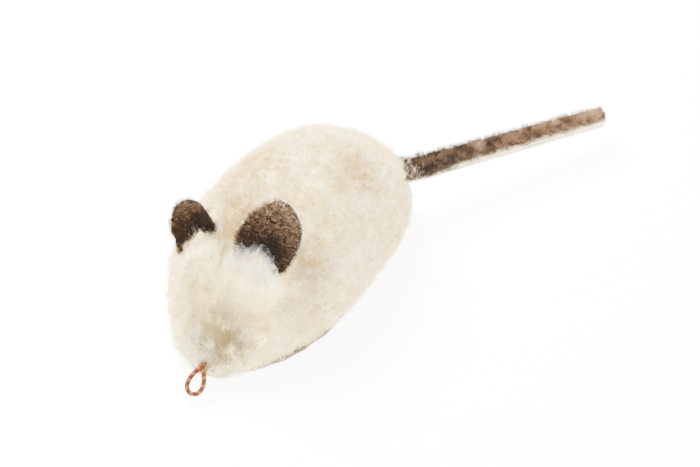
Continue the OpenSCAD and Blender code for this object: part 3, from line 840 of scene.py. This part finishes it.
def make_tail():
    rng = np.random.default_rng(5)
    place = tail_place()
    leather = tail_layer("tail_leather", 0.0, 0.9 * MM, 0.0, 0.0)
    leather.data.materials.append(pale_leather("tail_suede"))
    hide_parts("tail_strip")
    pale = tail_layer("tail_pale_pile", 0.9 * MM, 2.2 * MM, 0.35 * MM, 0.0)
    pale.data.materials.append(pile_felt("tail_pile_felt_cream", "#d6c294", "#efe2c0"))
    brown = tail_layer("tail_brown_pile", 2.2 * MM, 3.4 * MM, 0.4 * MM, 1.2 * MM)
    brown.data.materials.append(pile_felt("tail_pile_felt_brown", "#1c1007", "#3c2814"))

    def in_view(points):
        return local_points(place, points)[:, 0] < -1 * MM

    up = np.array(place.to_3x3() @ Vector((0, 0, 1)))
    back = np.array(place.to_3x3() @ Vector((-0.4, 0, 0)))
    for layer, name, count, rise, shades in (
            (brown, "tail_hair_brown", 12300, 2.0 * MM, (0.1, 0.85)),
            (pale, "tail_hair_cream", 4000, 1.2 * MM, (0.93, 1.0))):
        points, normals = scatter(layer, count, rng, lambda p, n: (n @ up > -0.3) & in_view(p))
        comb = np.tile(back, (len(points), 1))
        paths = lock_paths(points, normals, rng, comb, rise, 0.8 * MM, 0.45 * MM, 0.2, 7.0, 690)
        thick = rng.uniform(0.045, 0.075, len(points)) * MM
        shade = np.array([noise.noise(Vector(p) / (3.6 * MM)) for p in points])
        along = local_points(place, points)[:, 0] / -TAIL_LEN
        tints = 0.12 + 0.6 * shade + 0.75 * along + rng.normal(0, 0.16, len(points))
        tints = shades[0] + (shades[1] - shades[0]) * np.clip(tints, 0, 1)
        grow(name, paths, thick, tints, tail_hair(name + "_fibre"), "tail")
    points, normals = scatter(brown, 420, rng, lambda p, n: n @ up > 0.2)
    points, normals = (a[local_points(place, points)[:, 0] > -7 * MM] for a in (points, normals))
    comb = np.tile(back, (len(points), 1))
    paths = lock_paths(points, normals, rng, comb, 2.8 * MM, 2 * MM, 1.6 * MM, 0.2, 10.0, 50)
    grow("tail_root_strays", paths, np.full(len(points), 0.035 * MM), np.full(len(points), 1.0),
         tail_hair("tail_root_white_fibre"), "tail")


# ---------------------------------------------------------------- cord

CORD_D = 1.6 * MM
LOOP_LEN = 10.8 * MM
LOOP_W = 6.6 * MM
LOOP_START = spot(56.2, 6.7, 7.8)
LOOP_YAW, LOOP_FALL = math.radians(12), math.radians(32)
LAY = 2.5 * MM
# The cord wound on the drum, in two layers.
WOUND_TURNS = 10
WOUND_STEPS = 40
WOUND_R = 8.0 * MM
WOUND_CORD_D = 1.3 * MM
WOUND_PITCH = 1.1 * MM
WOUND_START = spot(5, -5.3, 19)


def spread(route, step):
    """Points about a step apart along a route of points."""
    points = [np.array(p, float) for p in route]
    out = []
    for a, b in zip(points, points[1:]):
        n = max(1, math.ceil(np.linalg.norm(b - a) / step))
        out += [a + (b - a) * k / n for k in range(n)]
    return np.array(out + [points[-1]])


def twisted(name, path, closed, plies, radius, lay, body, materials):
    """Twisted cord whose plies wind once round the path in each lay's length."""
    points = np.array(path)
    count = len(points)
    if closed:
        after, before = np.roll(points, -1, 0), np.roll(points, 1, 0)
    else:
        after = np.vstack([points[1:], 2 * points[-1] - points[-2]])
        before = np.vstack([2 * points[0] - points[1], points[:-1]])
    tangent = units(after - before)
    flat = units(np.cross(np.tile([0.11, 0.2, 1.0], (count, 1)), tangent))
    other = np.cross(tangent, flat)
    runs = np.concatenate([[0], np.cumsum(np.linalg.norm(np.diff(points, axis=0), axis=1))])
    total = runs[-1] + (np.linalg.norm(points[0] - points[-1]) if closed else 0)
    turns = round(total / lay) if closed else total / lay
    data = bpy.data.curves.new(name, "CURVE")
    data.dimensions = "3D"
    data.bevel_depth = radius * (0.54 if plies > 1 else 1)
    data.bevel_resolution = 2
    data.use_fill_caps = True
    for material in materials:
        data.materials.append(material)
    for ply in range(plies):
        turn = runs / total * turns * math.tau + ply * math.tau / plies
        offset = np.cos(turn)[:, None] * flat + np.sin(turn)[:, None] * other
        line = points + offset * (radius * 0.56 if plies > 1 else 0)
        spline = data.splines.new("POLY")
        spline.points.add(count - 1)
        spline.points.foreach_set("co", np.hstack([line, np.ones((count, 1))]).reshape(-1))
        spline.use_cyclic_u = closed
        spline.material_index = ply % len(materials)
    curve = bpy.data.objects.new(name, data)
    bpy.context.collection.objects.link(curve)
    bpy.context.view_layer.update()
    graph = bpy.context.evaluated_depsgraph_get()
    mesh = bpy.data.meshes.new_from_object(curve.evaluated_get(graph))
    bpy.data.objects.remove(curve)
    made = bpy.data.objects.new(name, mesh)
    bpy.context.collection.objects.link(made)
    mesh.polygons.foreach_set("use_smooth", [True] * len(mesh.polygons))
    if body:
        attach(made, body)
    return made


def make_cord(dark, light):
    # Two strands take the cord's copper brown, the third a lighter copy of it: a painted highlight
    # that shows the twist.
    strands = [dark, dark, light]
    ahead = Vector((math.cos(LOOP_YAW) * math.cos(LOOP_FALL),
                    math.sin(LOOP_YAW) * math.cos(LOOP_FALL), -math.sin(LOOP_FALL)))
    side = Vector((-math.sin(LOOP_YAW), math.cos(LOOP_YAW), 0))
    path = []
    for i in range(200):
        a = math.tau * i / 200
        path.append(LOOP_START + ahead * (LOOP_LEN - CORD_D) / 2 * (1 - math.cos(a))
                    + side * LOOP_W / 2 * math.sin(a) * math.sin(a / 2) ** 0.9)
    loop = twisted("pull_loop_cord", path, True, 3, CORD_D / 2, LAY, "loop", strands)
    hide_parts("pull_loop")
    route = [spot(12, -1.9, 10.7), spot(40, 2, 9.5), spot(50, 4.7, 8)]
    run = twisted("cord_run_twisted", spread(route, 0.2 * MM), False, 3, CORD_D / 2, LAY,
                  "mouse", strands)
    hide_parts("cord_run")
    coil = []
    steps = WOUND_TURNS * WOUND_STEPS
    for i in range(steps + 1):
        a, layer = math.tau * i / WOUND_STEPS, 2 * i // (steps + 1)
        turn = i / WOUND_STEPS % (WOUND_TURNS / 2)
        wide = turn if layer == 0 else WOUND_TURNS / 2 - turn
        r = WOUND_R + WOUND_CORD_D * layer
        coil.append(WOUND_START + Vector((r * math.cos(a), wide * WOUND_PITCH, r * math.sin(a))))
    wound = twisted("cord_wound_coil", coil, False, 1, WOUND_CORD_D / 2, LAY, "drum", [dark])
    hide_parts("cord_wound")
    start, end = spot(49.5, 4.57, 8.07), LOOP_START
    out = twisted("cord_pulled_out", spread([start, end], 0.15 * MM), False, 3, CORD_D / 2, LAY,
                  None, strands)
    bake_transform(out)


# ---------------------------------------------------------------- finishes of the CAD parts

def finish_cad_parts():
    tin = brushed_metal("bright_tinplate", "#c4c7cb", "#9a9ea3")
    brass = brushed_metal("stamped_brass", "#c9a557", "#94763a", 0.3)
    steel = brushed_metal("turned_steel", "#a9adb1", "#7d8185", 0.25)
    blued = brushed_metal("blued_spring_steel", "#4a5668", "#2a323e", 0.35)
    acetal = moulded_plastic("black_acetal", "#17181a", "#2d2f32")
    rubber = moulded_plastic("black_rubber", "#121212", "#262626", 0.75)
    hide = pale_leather("pelt_flesh_side", "#e6dac6", "#cfc0a6")
    linen = woven_thread("waxed_linen_thread", "#d8c7a8", "#9c8a6b")
    finishes = {
        tin: ["base_plate", "motor_cover", "roller_bracket"],
        brass: ["frame_plate_left", "frame_plate_right", "great_wheel", "lay_pinion",
                "lay_wheel", "axle_pinion", "cord_guide_tube"],
        steel: ["base_rivets", "frame_pillars", "spring_arbor", "layshaft", "drive_axle",
                "roller_axle"],
        blued: ["mainspring", "clutch_spring"],
        acetal: ["cord_drum", "drum_cover", "wheel_left", "wheel_right", "front_roller"],
        rubber: ["tyre_left", "tyre_right"],
        hide: ["pelt_leather"],
        linen: ["hem_thread", "tail_stitch", "nose_thread"],
    }
    for material, names in finishes.items():
        for name in names:
            slots = frame["nodes"][name].data.materials
            slots.clear()
            slots.append(material)


def make_waddings():
    """Lumps of loose filling, a little smaller than the plain CAD blocks."""
    material = pale_leather("polyester_wadding", "#f7f5f0", "#e6e3da")
    for name in ("nose_wadding", "rump_wadding"):
        lump = even_copy(name, name + "_fill", 0.9 * MM)
        for vert in lump.data.vertices:
            sink = 0.7 + 0.6 * noise.noise(vert.co / (4 * MM))
            vert.co -= vert.normal * sink * MM
        lump.data.polygons.foreach_set("use_smooth", [True] * len(lump.data.polygons))
        lump.data.materials.clear()
        lump.data.materials.append(material)
        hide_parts(name)


def make_belly():
    """The belly leather with its hand-cut, uneven edge."""
    bm = cad_solid("belly_leather")
    low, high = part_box("belly_leather")
    middle = (low + high) / 2
    half = (high - low) / 2
    rim = [v for v in bm.verts if ((v.co.x - middle.x) / half.x) ** 2
           + ((v.co.y - middle.y) / half.y) ** 2 > 0.42]
    for vert in rim:
        away = Vector((vert.co.x - middle.x, vert.co.y - middle.y, 0)).normalized()
        wave = noise.noise(Vector((vert.co.x, vert.co.y, 0)) / (5 * MM))
        nose = max(0.0, min(1.0, (vert.co.x - spot(38, 0, 0).x) / (8 * MM)))
        vert.co += away * (0.7 + 0.9 * wave - 1.8 * nose) * MM
    piece = piece_from(bm, "belly_leather_cut", "mouse", smooth=False)
    piece.data.materials.append(pale_leather("grey_brown_split_leather", "#6f5f4a", "#43372a"))
    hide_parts("belly_leather")


def make_nose_details(base):
    """Gold and brown stitches round the cord hole."""
    gold = woven_thread("pale_gold_thread", "#cfae6e", "#8a6c38")
    brown = woven_thread("brown_thread", "#6a4a2c", "#3a2616")
    stitches = (
        ("nose_stitch_1", (55.6, 5.2, 8.6), (55.0, 7.2, 9.4), gold),
        ("nose_stitch_2", (55.6, 8.0, 8.4), (54.6, 9.8, 8.6), brown),
        ("nose_stitch_3", (55.8, 7.6, 7.4), (55.0, 9.2, 7.0), gold),
        ("nose_stitch_4", (55.4, 9.0, 6.2), (54.2, 10.4, 6.0), brown),
    )
    for name, a, b, material in stitches:
        ends = []
        for place in (a, b):
            _, hit, normal, _ = base.closest_point_on_mesh(spot(*place))
            ends.append((hit, normal))
        (p, n), (q, m) = ends
        path = []
        for i in range(25):
            t = i / 24
            arch = math.sin(math.pi * t) * 1.5 - 0.5
            path.append(p.lerp(q, t) + n.lerp(m, t) * arch * MM)
        thread = twisted(name, path, False, 2, 0.22 * MM, 1.0 * MM, "mouse",
                         [material])
        if name == "nose_stitch_1":
            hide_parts("nose_thread")


make_camera()
# The second finish is a lighter copy of the first, used as a painted highlight on one strand.
make_cord(twisted_cord("copper_brown_twisted_cord", ("#160600", "#3c1701", "#7a3a0a")),
          twisted_cord("copper_cord_painted_highlight", ("#461c02", "#80420a", "#b4722a")))
make_studio()
fleece = make_fleece()
make_ear("left", 21)
make_ear("right", 22)
make_ear_tufts(fleece)
make_tail()
make_belly()
make_waddings()
make_nose_details(fleece)
finish_cad_parts()
